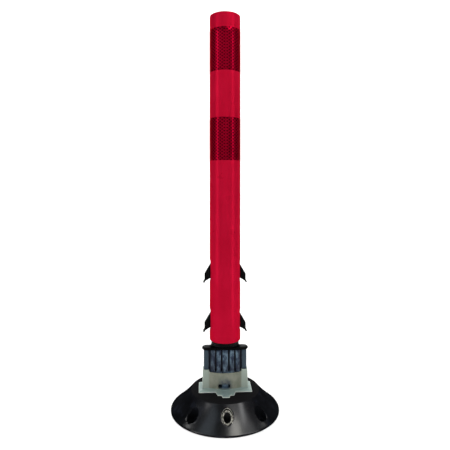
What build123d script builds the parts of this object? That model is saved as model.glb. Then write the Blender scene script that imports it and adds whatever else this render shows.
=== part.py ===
"""Flexible delineator post: a red tube on a barbed core, a flat urethane hinge and a bolt-down base.

Millimetres. Origin at the middle of the underside, +Z up, front faces -Y.
"""

import os

from build123d import *

os.makedirs("parts", exist_ok=True)

# base: a round flare with a flat top, bolted to the road through a sleeve at the front and back
# and four corner pockets
BASE_RADIUS = 98.0
BASE_EDGE = 2.6
BASE_TOP_RADIUS = 61.0
BASE_HEIGHT = 36.8
FLARE_SAG = 1.0
BASE_EDGE_ROUNDING = 2.2
BASE_TOP_ROUNDING = 1.6
SLEEVE_REACH = 75.0
CORNER_POCKET_REACH = 57.5
POCKET_RADIUS = 10.4
POCKET_FLOOR = 5.5
ROAD_BOLT_CLEARANCE_RADIUS = 6.25
SLEEVE_RECESS = 1.0

# centre bolt that clamps the hinge's foot onto the base
CENTRE_BOLT_RADIUS = 6.0
CENTRE_CLEARANCE_RADIUS = 6.5
HEAD_FLATS = 18.0
HEAD_HEIGHT = 7.5
NUT_HEIGHT = 10.8
WASHER_RADIUS = 12.0
WASHER_THICKNESS = 2.5
BACKING_RADIUS = 40.0
BACKING_THICKNESS = 4.0
BACKING_TOP = 13.5
BOLT_TIP_CHAMFER = 1.0
BOLT_TIP_GAP = 1.0

# foot flange with its stepped nose, part of the root block's moulding
FLANGE_THICKNESS = 2.5
FLANGE_LOWER_TIER = 1.4
FLANGE_TIER_INSET = 2.2
FLANGE_CORNER = 2.0
FLANGE_TOP = BASE_HEIGHT + FLANGE_THICKNESS
FLANGE_HALF_WIDTH = 47.7
FLANGE_HALF_DEPTH = 21.3
NOSE_ROOT = 17.7
NOSE_STEP = 14.5
NOSE_STEP_REACH = 33.5
NOSE_TIP_ROOT = 7.8
NOSE_TIP = 5.9
NOSE_REACH = 41.5

# root block: plain lower half of the hinge, with a round boss over the centre nut and taller end pillars
SHOULDER = 68.4
PILLAR_SHOULDER = 72.8
ROOT_HALF_WIDTH_TOP = 40.3
ROOT_HALF_WIDTH_FOOT = 41.3
ROOT_BULGE = 15.6
PANEL_HALF_WIDTH = 31.0
PANEL_END_DEPTH = 8.0
PILLAR_INNER = 29.0
PILLAR_CORNER = 2.2
ROOT_PILLAR_DEPTH = 9.3
BOSS_FOOT_RADIUS = 18.0
BOSS_TOP_RADIUS = 15.3
BOSS_TOP = 62.0
NUT_ROOM_RADIUS = 12.6
NUT_ROOM_TOP = 55.0
WINDOW_WIDTH = 22.0
WINDOW_OFFSET = -2.0
WINDOW_BOTTOM = 40.2
WINDOW_TOP = 48.7
WINDOW_CORNER = 3.0
LOCATING_PIN_RADIUS = 4.0
LOCATING_PIN_X = 34.0
LOCATING_PIN_BOTTOM = 20.0
LOCATING_PIN_TOP = 52.0

# ribbed block: the half that bends, grooved front and back
HINGE_TOP = 107.6
RIBBED_HALF_WIDTH = 38.8
RIBBED_PANEL_HALF_WIDTH = 29.0
RIBBED_BULGE_FOOT = 14.5
RIBBED_BULGE_TOP = 9.4
RIBBED_END_DEPTH = 6.7
RIBBED_PILLAR_DEPTH = 7.5
GROOVE_WIDTH = 3.0
GROOVE_BOTTOM = 71.2
INNER_GROOVES = (6.4, 17.3)
INNER_WEB = 5.0
OUTER_GROOVE = 28.0
OUTER_WEB = 3.5

# steel inserts moulded into the two blocks
MIDDLE_INSERT_LENGTH = 56.0
MIDDLE_INSERT_DEPTH = 7.0
MIDDLE_INSERT_BOTTOM = 66.4
MIDDLE_INSERT_TOP = 70.4
TOP_INSERT_LENGTH = 46.0
TOP_INSERT_DEPTH = 7.0
TOP_INSERT_BOTTOM = 102.0
TOP_INSERT_TOP = 106.0
TOP_SLEEVE_RADIUS = 5.8
TOP_SLEEVE_BOTTOM = 94.0
CORE_BOLT_RADIUS = 4.0
CORE_HEAD_FLATS = 13.0
CORE_HEAD_HEIGHT = 5.3
CORE_WASHER_RADIUS = 8.0
CORE_WASHER_THICKNESS = 1.6

# collar and core
COLLAR_HALF_WIDTH = 41.9
COLLAR_HALF_DEPTH = 9.6
COLLAR_TOP = 112.8
COLLAR_ROUNDING = 1.5
NECK_FLARE_HALF_WIDTH = 29.0
NECK_FLARE_TOP = 117.4
CORE_RADIUS = 24.9
CORE_FLOOR_TOP = 122.0
CORE_TOP = 300.0
CORE_TOP_CHAMFER = 2.0
CORE_BORE_RADIUS = 9.0
CORE_SHELL_RADIUS = 21.4
CORE_WEB = 10.2
CORE_SLOT_HALF_WIDTH = 5.7
CORE_SLOT_BOTTOM = 222.0
CORE_SLOT_TOP = 286.0

# tube, cap and reflective bands
TUBE_RADIUS = 27.9
TUBE_BORE_RADIUS = 25.0
TUBE_BOTTOM = 125.2
TUBE_TOP = 709.8
TUBE_FOOT_ROUNDING = 2.2
CAP_TOP = 711.3
CAP_ROUNDING = 0.7
CAP_PLUG_RADIUS = 24.95
CAP_PLUG_WALL = 2.5
CAP_PLUG_BOTTOM = 694.0
BAND_THICKNESS = 0.4
BAND_HEIGHT = 76.2
UPPER_BAND_BOTTOM = 608.5
LOWER_BAND_BOTTOM = 449.8

# slots in the tube and the barbs that stand out of them, in two levels
SLOT_WIDTH = 17.0
SLOT_BOTTOM = 231.8
SLOT_TOP = 271.0
SLOT_CORNER = 5.0
LEVEL_SPACING = 89.2
LEVELS = {"upper": 0.0, "lower": LEVEL_SPACING}
BARB_THICKNESS = 10.0
PIVOT_X = 18.0
PIVOT_Z = 276.0
BARB_PIN_RADIUS = 2.0
BARB_BORE_RADIUS = 2.05
BARB_PIN_LENGTH = 22.0
BARB_BOSS_RADIUS = 5.0
BARB_INNER_FACE = 12.0
BARB_INNER_TOP = 266.0
TOE_FACE = 23.4
TOE_BOTTOM = 226.0
NOTCH = (24.0, 236.6)
BELLY = (27.0, 237.7)
TAIL_ROOT = (35.6, 232.5)
TAIL_UNDERSIDE = (37.9, 228.7)
TAIL_TIP = (40.2, 229.9)
TAIL_TOP = (37.4, 234.6)
NOSE = (37.4, 245.2)
RAMP_FOOT = (27.9, 261.2)
RAMP_TOP = 270.0
SPRING_Z = 250.0
SPRING_COIL_RADIUS = 3.8
SPRING_WIRE_RADIUS = 0.6
SPRING_HALF_LENGTH = 13.2
SPRING_TURNS = 9
SEAT_RADIUS = 4.7
SEAT_DEPTH = 2.0


def save(piece, name):
    """Label a finished piece and write it out."""
    piece.part.label = name
    export_step(piece.part, f"parts/{name}.step")


def flare_line(raised):
    """The concave side of the base, lifted by `raised`, from its rim to its flat top."""
    middle_x = (BASE_RADIUS + BASE_TOP_RADIUS) / 2 - FLARE_SAG
    middle_z = (BASE_EDGE + BASE_HEIGHT) / 2 - FLARE_SAG + raised
    ThreePointArc(
        (BASE_RADIUS, BASE_EDGE + raised),
        (middle_x, middle_z),
        (BASE_TOP_RADIUS, BASE_HEIGHT + raised),
    )


def lens_plan(half_width, bulge, end_depth):
    """A panel seen from above: curved front and back, flat ends."""
    with BuildSketch() as plan:
        with BuildLine():
            ThreePointArc((-half_width, -end_depth), (0, -bulge), (half_width, -end_depth))
            Line((half_width, -end_depth), (half_width, end_depth))
            ThreePointArc((half_width, end_depth), (0, bulge), (-half_width, end_depth))
            Line((-half_width, end_depth), (-half_width, -end_depth))
        make_face()
    return plan.sketch


def pillar_plan(side, outer, half_depth):
    """The pillar at one end of a block, seen from above."""
    with BuildSketch() as plan:
        with Locations((side * (outer + PILLAR_INNER) / 2, 0)):
            RectangleRounded(outer - PILLAR_INNER, 2 * half_depth, PILLAR_CORNER)
    return plan.sketch


def flange_plan():
    """The foot flange seen from above: a rectangle with a nose that narrows in two steps at the front."""
    with BuildSketch() as plan:
        RectangleRounded(2 * FLANGE_HALF_WIDTH, 2 * FLANGE_HALF_DEPTH, FLANGE_CORNER)
        Polygon(
            (-NOSE_ROOT, -FLANGE_HALF_DEPTH),
            (-NOSE_STEP, -NOSE_STEP_REACH),
            (-NOSE_TIP_ROOT, -NOSE_STEP_REACH),
            (-NOSE_TIP, -NOSE_REACH),
            (NOSE_TIP, -NOSE_REACH),
            (NOSE_TIP_ROOT, -NOSE_STEP_REACH),
            (NOSE_STEP, -NOSE_STEP_REACH),
            (NOSE_ROOT, -FLANGE_HALF_DEPTH),
            (NOSE_ROOT, 0),
            (-NOSE_ROOT, 0),
            align=None,
        )
    return plan.sketch


def groove(x, web):
    """Cut one vertical groove in the front and one in the back, leaving a web between them."""
    height = HINGE_TOP - GROOVE_BOTTOM
    reach = 20.0
    for start in (web, -reach):
        with BuildSketch(Plane.XZ.offset(start)) as outline:
            with Locations((x, GROOVE_BOTTOM + height / 2)):
                Rectangle(GROOVE_WIDTH, height)
            with Locations((x, GROOVE_BOTTOM)):
                Circle(GROOVE_WIDTH / 2)
        extrude(outline.sketch, amount=reach - web, mode=Mode.SUBTRACT)


# --- base ---------------------------------------------------------------------------------------

with BuildPart() as base_flare:
    with BuildSketch(Plane.XZ):
        with BuildLine():
            Line((0, 0), (BASE_RADIUS, 0))
            Line((BASE_RADIUS, 0), (BASE_RADIUS, BASE_EDGE))
            flare_line(0)
            Line((BASE_TOP_RADIUS, BASE_HEIGHT), (0, BASE_HEIGHT))
            Line((0, BASE_HEIGHT), (0, 0))
        make_face()
    revolve(axis=Axis.Z)
    fillet(base_flare.edges().filter_by(GeomType.CIRCLE).group_by(Axis.Z)[1], BASE_EDGE_ROUNDING)
    fillet(base_flare.edges().filter_by(GeomType.CIRCLE).group_by(Axis.Z)[-1], BASE_TOP_ROUNDING)
    with BuildSketch(Plane.XY):
        with Locations((0, -SLEEVE_REACH), (0, SLEEVE_REACH)):
            Circle(POCKET_RADIUS)
        with GridLocations(2 * CORNER_POCKET_REACH, 2 * CORNER_POCKET_REACH, 2, 2):
            Circle(ROAD_BOLT_CLEARANCE_RADIUS)
        Circle(CENTRE_CLEARANCE_RADIUS)
    extrude(amount=BASE_HEIGHT, mode=Mode.SUBTRACT)
    # the corner bolts sit in wide pockets that stop short of the road
    with BuildSketch(Plane.XY.offset(POCKET_FLOOR)):
        with GridLocations(2 * CORNER_POCKET_REACH, 2 * CORNER_POCKET_REACH, 2, 2):
            Circle(POCKET_RADIUS)
    extrude(amount=BASE_HEIGHT - POCKET_FLOOR, mode=Mode.SUBTRACT)
    with BuildSketch(Plane.XY):
        Circle(BACKING_RADIUS)
    extrude(amount=BACKING_TOP, mode=Mode.SUBTRACT)
    with BuildSketch(Plane.XY.offset(LOCATING_PIN_BOTTOM)):
        with Locations((-LOCATING_PIN_X, 0), (LOCATING_PIN_X, 0)):
            Circle(LOCATING_PIN_RADIUS)
    extrude(amount=BASE_HEIGHT - LOCATING_PIN_BOTTOM, mode=Mode.SUBTRACT)
save(base_flare, "base_flare")

with BuildPart() as bolt_sleeves:
    with BuildSketch(Plane.XY):
        with Locations((0, -SLEEVE_REACH), (0, SLEEVE_REACH)):
            Circle(POCKET_RADIUS)
            Circle(ROAD_BOLT_CLEARANCE_RADIUS, mode=Mode.SUBTRACT)
    extrude(amount=2 * BASE_HEIGHT)
    # each sleeve ends a little below the flare and follows its slope
    with BuildSketch(Plane.XZ):
        with BuildLine():
            flare_line(-SLEEVE_RECESS)
            Line((BASE_TOP_RADIUS, BASE_HEIGHT - SLEEVE_RECESS), (BASE_TOP_RADIUS, 3 * BASE_HEIGHT))
            Line((BASE_TOP_RADIUS, 3 * BASE_HEIGHT), (BASE_RADIUS, 3 * BASE_HEIGHT))
            Line((BASE_RADIUS, 3 * BASE_HEIGHT), (BASE_RADIUS, BASE_EDGE - SLEEVE_RECESS))
        make_face()
    revolve(axis=Axis.Z, mode=Mode.SUBTRACT)
save(bolt_sleeves, "bolt_sleeves")

with BuildPart() as backing_plate:
    with BuildSketch(Plane.XY.offset(BACKING_TOP - BACKING_THICKNESS)):
        Circle(BACKING_RADIUS)
        Circle(CENTRE_CLEARANCE_RADIUS, mode=Mode.SUBTRACT)
    extrude(amount=BACKING_THICKNESS)
save(backing_plate, "backing_plate")

HEAD_TOP = BACKING_TOP - BACKING_THICKNESS
NUT_BOTTOM = FLANGE_TOP + WASHER_THICKNESS

with BuildPart() as centre_bolt:
    with BuildSketch(Plane.XY.offset(HEAD_TOP - HEAD_HEIGHT)):
        RegularPolygon(HEAD_FLATS / 2, 6, major_radius=False)
    extrude(amount=HEAD_HEIGHT)
    with BuildSketch(Plane.XY.offset(HEAD_TOP)):
        Circle(CENTRE_BOLT_RADIUS)
    extrude(amount=NUT_ROOM_TOP - BOLT_TIP_GAP - HEAD_TOP)
    chamfer(centre_bolt.faces().sort_by(Axis.Z)[-1].edges(), BOLT_TIP_CHAMFER)
save(centre_bolt, "centre_bolt")

with BuildPart() as centre_washer:
    with BuildSketch(Plane.XY.offset(FLANGE_TOP)):
        Circle(WASHER_RADIUS)
        Circle(CENTRE_CLEARANCE_RADIUS, mode=Mode.SUBTRACT)
    extrude(amount=WASHER_THICKNESS)
save(centre_washer, "centre_washer")

with BuildPart() as centre_nut:
    with BuildSketch(Plane.XY.offset(NUT_BOTTOM)):
        RegularPolygon(HEAD_FLATS / 2, 6, major_radius=False)
        Circle(CENTRE_BOLT_RADIUS, mode=Mode.SUBTRACT)
    extrude(amount=NUT_HEIGHT)
save(centre_nut, "centre_nut")

with BuildPart() as locating_pins:
    with BuildSketch(Plane.XY.offset(LOCATING_PIN_BOTTOM)):
        with Locations((-LOCATING_PIN_X, 0), (LOCATING_PIN_X, 0)):
            Circle(LOCATING_PIN_RADIUS)
    extrude(amount=LOCATING_PIN_TOP - LOCATING_PIN_BOTTOM)
save(locating_pins, "locating_pins")

# --- hinge --------------------------------------------------------------------------------------

with BuildPart() as root_block:
    with BuildSketch(Plane.XY.offset(BASE_HEIGHT)):
        add(flange_plan())
    extrude(amount=FLANGE_LOWER_TIER)
    with BuildSketch(Plane.XY.offset(BASE_HEIGHT + FLANGE_LOWER_TIER)):
        add(flange_plan())
        offset(amount=-FLANGE_TIER_INSET)
    extrude(amount=FLANGE_THICKNESS - FLANGE_LOWER_TIER)
    with BuildSketch(Plane.XY.offset(FLANGE_TOP)):
        add(lens_plan(PANEL_HALF_WIDTH, ROOT_BULGE, PANEL_END_DEPTH))
    extrude(amount=SHOULDER - FLANGE_TOP)
    for side in (-1, 1):
        with BuildSketch(Plane.XY.offset(FLANGE_TOP)):
            add(pillar_plan(side, ROOT_HALF_WIDTH_FOOT, ROOT_PILLAR_DEPTH))
        with BuildSketch(Plane.XY.offset(PILLAR_SHOULDER)):
            add(pillar_plan(side, ROOT_HALF_WIDTH_TOP, ROOT_PILLAR_DEPTH))
        loft()
    with Locations((0, 0, FLANGE_TOP)):
        Cone(
            BOSS_FOOT_RADIUS,
            BOSS_TOP_RADIUS,
            BOSS_TOP - FLANGE_TOP,
            align=(Align.CENTER, Align.CENTER, Align.MIN),
        )
    with BuildSketch(Plane.XY.offset(FLANGE_TOP)):
        Circle(NUT_ROOM_RADIUS)
    extrude(amount=NUT_ROOM_TOP - FLANGE_TOP, mode=Mode.SUBTRACT)
    with BuildSketch(Plane.XZ):
        with Locations((WINDOW_OFFSET, (WINDOW_BOTTOM + WINDOW_TOP) / 2)):
            RectangleRounded(WINDOW_WIDTH, WINDOW_TOP - WINDOW_BOTTOM, WINDOW_CORNER)
    extrude(amount=2 * BOSS_FOOT_RADIUS, mode=Mode.SUBTRACT)
    with BuildSketch(Plane.XY.offset(BASE_HEIGHT)):
        Circle(CENTRE_CLEARANCE_RADIUS)
    extrude(amount=FLANGE_THICKNESS, mode=Mode.SUBTRACT)
    with BuildSketch(Plane.XY.offset(BASE_HEIGHT)):
        with Locations((-LOCATING_PIN_X, 0), (LOCATING_PIN_X, 0)):
            Circle(LOCATING_PIN_RADIUS)
    extrude(amount=LOCATING_PIN_TOP - BASE_HEIGHT, mode=Mode.SUBTRACT)
    with BuildSketch(Plane.XY.offset(MIDDLE_INSERT_BOTTOM)):
        Rectangle(MIDDLE_INSERT_LENGTH, MIDDLE_INSERT_DEPTH)
    extrude(amount=SHOULDER - MIDDLE_INSERT_BOTTOM, mode=Mode.SUBTRACT)
save(root_block, "root_block")

with BuildPart() as ribbed_block:
    with BuildSketch(Plane.XY.offset(SHOULDER)):
        add(lens_plan(RIBBED_PANEL_HALF_WIDTH, RIBBED_BULGE_FOOT, RIBBED_END_DEPTH))
    with BuildSketch(Plane.XY.offset(HINGE_TOP)):
        add(lens_plan(RIBBED_PANEL_HALF_WIDTH, RIBBED_BULGE_TOP, RIBBED_END_DEPTH))
    loft()
    with BuildSketch(Plane.XY.offset(PILLAR_SHOULDER)):
        for side in (-1, 1):
            add(pillar_plan(side, RIBBED_HALF_WIDTH, RIBBED_PILLAR_DEPTH))
    extrude(amount=HINGE_TOP - PILLAR_SHOULDER)
    for side in (-1, 1):
        for distance in INNER_GROOVES:
            groove(side * distance, INNER_WEB)
        groove(side * OUTER_GROOVE, OUTER_WEB)
    with BuildSketch(Plane.XY.offset(SHOULDER)):
        Rectangle(MIDDLE_INSERT_LENGTH, MIDDLE_INSERT_DEPTH)
    extrude(amount=MIDDLE_INSERT_TOP - SHOULDER, mode=Mode.SUBTRACT)
    with BuildSketch(Plane.XY.offset(TOP_INSERT_BOTTOM)):
        Rectangle(TOP_INSERT_LENGTH, TOP_INSERT_DEPTH)
    extrude(amount=TOP_INSERT_TOP - TOP_INSERT_BOTTOM, mode=Mode.SUBTRACT)
    with BuildSketch(Plane.XY.offset(TOP_SLEEVE_BOTTOM)):
        Circle(TOP_SLEEVE_RADIUS)
    extrude(amount=TOP_INSERT_TOP - TOP_SLEEVE_BOTTOM, mode=Mode.SUBTRACT)
    with BuildSketch(Plane.XY.offset(TOP_INSERT_TOP)):
        Circle(CORE_BOLT_RADIUS)
    extrude(amount=HINGE_TOP - TOP_INSERT_TOP, mode=Mode.SUBTRACT)
save(ribbed_block, "ribbed_block")

with BuildPart() as middle_insert:
    with BuildSketch(Plane.XY.offset(MIDDLE_INSERT_BOTTOM)):
        Rectangle(MIDDLE_INSERT_LENGTH, MIDDLE_INSERT_DEPTH)
    extrude(amount=MIDDLE_INSERT_TOP - MIDDLE_INSERT_BOTTOM)
save(middle_insert, "middle_insert")

with BuildPart() as top_insert:
    with BuildSketch(Plane.XY.offset(TOP_INSERT_BOTTOM)):
        Rectangle(TOP_INSERT_LENGTH, TOP_INSERT_DEPTH)
    extrude(amount=TOP_INSERT_TOP - TOP_INSERT_BOTTOM)
    with BuildSketch(Plane.XY.offset(TOP_SLEEVE_BOTTOM)):
        Circle(TOP_SLEEVE_RADIUS)
    extrude(amount=TOP_INSERT_TOP - TOP_SLEEVE_BOTTOM)
    with BuildSketch(Plane.XY.offset(TOP_SLEEVE_BOTTOM)):
        Circle(CORE_BOLT_RADIUS)
    extrude(amount=TOP_INSERT_TOP - TOP_SLEEVE_BOTTOM, mode=Mode.SUBTRACT)
save(top_insert, "top_insert")

# --- collar and core ----------------------------------------------------------------------------

with BuildPart() as collar:
    with BuildSketch(Plane.XY.offset(HINGE_TOP)):
        SlotOverall(2 * COLLAR_HALF_WIDTH, 2 * COLLAR_HALF_DEPTH)
    extrude(amount=COLLAR_TOP - HINGE_TOP)
    fillet(collar.faces().filter_by(Axis.Z).edges(), COLLAR_ROUNDING)
    with BuildSketch(Plane.XY.offset(HINGE_TOP)):
        Circle(CORE_BOLT_RADIUS)
    extrude(amount=COLLAR_TOP - HINGE_TOP, mode=Mode.SUBTRACT)
save(collar, "collar")

with BuildPart() as barb_core:
    # the foot spreads from the collar's oval to the round neck
    with BuildSketch(Plane.XY.offset(COLLAR_TOP)):
        Ellipse(NECK_FLARE_HALF_WIDTH, COLLAR_HALF_DEPTH)
    with BuildSketch(Plane.XY.offset(NECK_FLARE_TOP)):
        Circle(CORE_RADIUS)
    loft()
    with BuildSketch(Plane.XY.offset(NECK_FLARE_TOP)):
        Circle(CORE_RADIUS)
    extrude(amount=CORE_TOP - NECK_FLARE_TOP)
    chamfer(barb_core.faces().sort_by(Axis.Z)[-1].edges(), CORE_TOP_CHAMFER)
    with BuildSketch(Plane.XY.offset(CORE_FLOOR_TOP)):
        Circle(CORE_SHELL_RADIUS)
        Rectangle(2 * CORE_SHELL_RADIUS, 2 * CORE_WEB, mode=Mode.SUBTRACT)
        Circle(CORE_BORE_RADIUS)
    extrude(amount=CORE_TOP - CORE_FLOOR_TOP, mode=Mode.SUBTRACT)
    with BuildSketch(Plane.XY.offset(COLLAR_TOP)):
        Circle(CORE_BOLT_RADIUS)
    extrude(amount=CORE_FLOOR_TOP - COLLAR_TOP, mode=Mode.SUBTRACT)
    for drop in LEVELS.values():
        with BuildSketch(Plane.XY.offset(CORE_SLOT_BOTTOM - drop)):
            Rectangle(4 * CORE_RADIUS, 2 * CORE_SLOT_HALF_WIDTH)
        extrude(amount=CORE_SLOT_TOP - CORE_SLOT_BOTTOM, mode=Mode.SUBTRACT)
        with BuildSketch(Plane.XZ):
            with Locations((-PIVOT_X, PIVOT_Z - drop), (PIVOT_X, PIVOT_Z - drop)):
                Circle(BARB_PIN_RADIUS)
        extrude(amount=BARB_PIN_LENGTH / 2, both=True, mode=Mode.SUBTRACT)
save(barb_core, "barb_core")

with BuildPart() as core_washer:
    with BuildSketch(Plane.XY.offset(CORE_FLOOR_TOP)):
        Circle(CORE_WASHER_RADIUS)
        Circle(CORE_BOLT_RADIUS, mode=Mode.SUBTRACT)
    extrude(amount=CORE_WASHER_THICKNESS)
save(core_washer, "core_washer")

CORE_HEAD_SEAT = CORE_FLOOR_TOP + CORE_WASHER_THICKNESS
CORE_BOLT_TIP = TOP_SLEEVE_BOTTOM + BOLT_TIP_GAP

with BuildPart() as core_bolt:
    with BuildSketch(Plane.XY.offset(CORE_HEAD_SEAT)):
        RegularPolygon(CORE_HEAD_FLATS / 2, 6, major_radius=False)
    extrude(amount=CORE_HEAD_HEIGHT)
    with BuildSketch(Plane.XY.offset(CORE_BOLT_TIP)):
        Circle(CORE_BOLT_RADIUS)
    extrude(amount=CORE_HEAD_SEAT - CORE_BOLT_TIP)
save(core_bolt, "core_bolt")

# --- barbs --------------------------------------------------------------------------------------


def make_barb(side, drop, name):
    """A harpoon-shaped barb hung from a pin at its top; its toe stays inside the tube's wall."""
    outline = [
        (BARB_INNER_FACE, TOE_BOTTOM),
        (TOE_FACE, TOE_BOTTOM),
        NOTCH,
        BELLY,
        TAIL_ROOT,
        TAIL_UNDERSIDE,
        TAIL_TIP,
        TAIL_TOP,
        NOSE,
        RAMP_FOOT,
        (PIVOT_X + BARB_BOSS_RADIUS, RAMP_TOP),
        (PIVOT_X + BARB_BOSS_RADIUS, PIVOT_Z),
        (PIVOT_X - BARB_BOSS_RADIUS, PIVOT_Z),
        (BARB_INNER_FACE, BARB_INNER_TOP),
    ]
    with BuildPart() as barb:
        with BuildSketch(Plane.XZ):
            Polygon(*[(side * x, z - drop) for x, z in outline], align=None)
            with Locations((side * PIVOT_X, PIVOT_Z - drop)):
                Circle(BARB_BOSS_RADIUS)
                Circle(BARB_BORE_RADIUS, mode=Mode.SUBTRACT)
        extrude(amount=BARB_THICKNESS / 2, both=True)
        with BuildSketch(Plane.YZ.offset(side * BARB_INNER_FACE)):
            with Locations((0, SPRING_Z - drop)):
                Circle(SEAT_RADIUS)
        extrude(amount=side * SEAT_DEPTH, mode=Mode.SUBTRACT)
    save(barb, name)


def make_spring(drop, name):
    """A compression spring that pushes the two barbs of a level apart."""
    with BuildPart() as spring:
        with BuildLine():
            coil = Helix(
                pitch=2 * SPRING_HALF_LENGTH / SPRING_TURNS,
                height=2 * SPRING_HALF_LENGTH,
                radius=SPRING_COIL_RADIUS,
                center=(-SPRING_HALF_LENGTH, 0, SPRING_Z - drop),
                direction=(1, 0, 0),
            )
        with BuildSketch(Plane(origin=coil @ 0, z_dir=coil % 0)):
            Circle(SPRING_WIRE_RADIUS)
        sweep(path=coil, is_frenet=True)
    save(spring, name)


for level, drop in LEVELS.items():
    make_barb(-1, drop, f"{level}_barb_left")
    make_barb(1, drop, f"{level}_barb_right")
    make_spring(drop, f"{level}_barb_spring")

with BuildPart() as barb_pins:
    for drop in LEVELS.values():
        with BuildSketch(Plane.XZ):
            with Locations((-PIVOT_X, PIVOT_Z - drop), (PIVOT_X, PIVOT_Z - drop)):
                Circle(BARB_PIN_RADIUS)
        extrude(amount=BARB_PIN_LENGTH / 2, both=True)
save(barb_pins, "barb_pins")

# --- tube, cap and bands ------------------------------------------------------------------------

with BuildPart() as post_tube:
    with BuildSketch(Plane.XY.offset(TUBE_BOTTOM)):
        Circle(TUBE_RADIUS)
        Circle(TUBE_BORE_RADIUS, mode=Mode.SUBTRACT)
    extrude(amount=TUBE_TOP - TUBE_BOTTOM)
    foot_edge = post_tube.faces().sort_by(Axis.Z)[0].edges().sort_by(SortBy.RADIUS)[-1]
    fillet(foot_edge, TUBE_FOOT_ROUNDING)
    for drop in LEVELS.values():
        with BuildSketch(Plane.YZ):
            with Locations((0, (SLOT_BOTTOM + SLOT_TOP) / 2 - drop)):
                RectangleRounded(SLOT_WIDTH, SLOT_TOP - SLOT_BOTTOM, SLOT_CORNER)
        extrude(amount=2 * TUBE_RADIUS, both=True, mode=Mode.SUBTRACT)
save(post_tube, "post_tube")

with BuildPart() as post_cap:
    with BuildSketch(Plane.XY.offset(TUBE_TOP)):
        Circle(TUBE_RADIUS)
    extrude(amount=CAP_TOP - TUBE_TOP)
    fillet(post_cap.faces().sort_by(Axis.Z)[-1].edges(), CAP_ROUNDING)
    with BuildSketch(Plane.XY.offset(CAP_PLUG_BOTTOM)):
        Circle(CAP_PLUG_RADIUS)
        Circle(CAP_PLUG_RADIUS - CAP_PLUG_WALL, mode=Mode.SUBTRACT)
    extrude(amount=TUBE_TOP - CAP_PLUG_BOTTOM)
save(post_cap, "post_cap")

for name, bottom in (("upper_band", UPPER_BAND_BOTTOM), ("lower_band", LOWER_BAND_BOTTOM)):
    with BuildPart() as band:
        with BuildSketch(Plane.XY.offset(bottom)):
            Circle(TUBE_RADIUS + BAND_THICKNESS)
            Circle(TUBE_RADIUS, mode=Mode.SUBTRACT)
        extrude(amount=BAND_HEIGHT)
    save(band, name)
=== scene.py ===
"""Looks of the flexible delineator post: red tube and bands, barbs, urethane hinge, glossy flared base.

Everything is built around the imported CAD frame, in metres, with the front towards -Y.
"""

import math

import bmesh
import bpy
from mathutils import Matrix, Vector


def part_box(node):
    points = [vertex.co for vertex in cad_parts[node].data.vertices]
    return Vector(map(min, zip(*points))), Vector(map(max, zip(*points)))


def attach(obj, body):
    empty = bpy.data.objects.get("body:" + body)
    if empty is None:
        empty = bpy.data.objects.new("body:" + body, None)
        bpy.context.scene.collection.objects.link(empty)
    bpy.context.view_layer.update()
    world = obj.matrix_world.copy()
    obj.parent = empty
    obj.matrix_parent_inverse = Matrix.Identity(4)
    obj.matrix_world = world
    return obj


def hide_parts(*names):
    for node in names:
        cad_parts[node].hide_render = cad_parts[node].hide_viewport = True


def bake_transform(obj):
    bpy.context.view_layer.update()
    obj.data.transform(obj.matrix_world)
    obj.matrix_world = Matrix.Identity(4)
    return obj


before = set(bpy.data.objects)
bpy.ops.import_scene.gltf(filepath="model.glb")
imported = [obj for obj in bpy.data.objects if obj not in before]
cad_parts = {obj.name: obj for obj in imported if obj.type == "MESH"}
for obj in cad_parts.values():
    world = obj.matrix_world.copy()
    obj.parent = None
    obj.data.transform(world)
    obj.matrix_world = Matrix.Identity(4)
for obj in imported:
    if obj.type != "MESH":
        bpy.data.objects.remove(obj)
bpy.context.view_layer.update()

MM = 0.001
FULL_TURN = 2 * math.pi
SHARP_ANGLE = 35
RING_SPACING = 12 * MM
LOOP_POINTS = 128

# places read from the frame
TUBE_LOW, TUBE_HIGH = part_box("post_tube")
TUBE_RADIUS = TUBE_HIGH.x
CAP_LOW, CAP_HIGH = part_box("post_cap")
COLLAR_LOW, COLLAR_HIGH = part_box("collar")
CORE_LOW, CORE_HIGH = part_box("barb_core")
CORE_RADIUS = CORE_HIGH.y
BASE_LOW, BASE_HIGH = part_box("base_flare")
ROOT_LOW, ROOT_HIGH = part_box("root_block")
_, PLATE_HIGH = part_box("backing_plate")
BASE_RADIUS = BASE_HIGH.x
BASE_TOP = BASE_HIGH.z

# base
BASE_EDGE = 2.6 * MM
BASE_TOP_RADIUS = 61.0 * MM
FLARE_SAG = 1.0 * MM
POCKET_RADIUS = 10.4 * MM
POCKET_FLOOR = 5.5 * MM
BOLT_HOLE_RADIUS = 6.25 * MM
CENTRE_HOLE_RADIUS = 6.5 * MM
SLEEVE_REACH = 75.0 * MM
CORNER_REACH = 57.5 * MM
SLEEVE_PLACES = [(0, -SLEEVE_REACH), (0, SLEEVE_REACH)]
CORNER_PLACES = [(x, y) for x in (-CORNER_REACH, CORNER_REACH) for y in (-CORNER_REACH, CORNER_REACH)]

# tube and core
TUBE_WALL = 2.9 * MM
TUBE_SEGMENTS = 160
CORE_BORE_RADIUS = 9.0 * MM
CORE_FLOOR_TOP = 122.0 * MM

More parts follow.
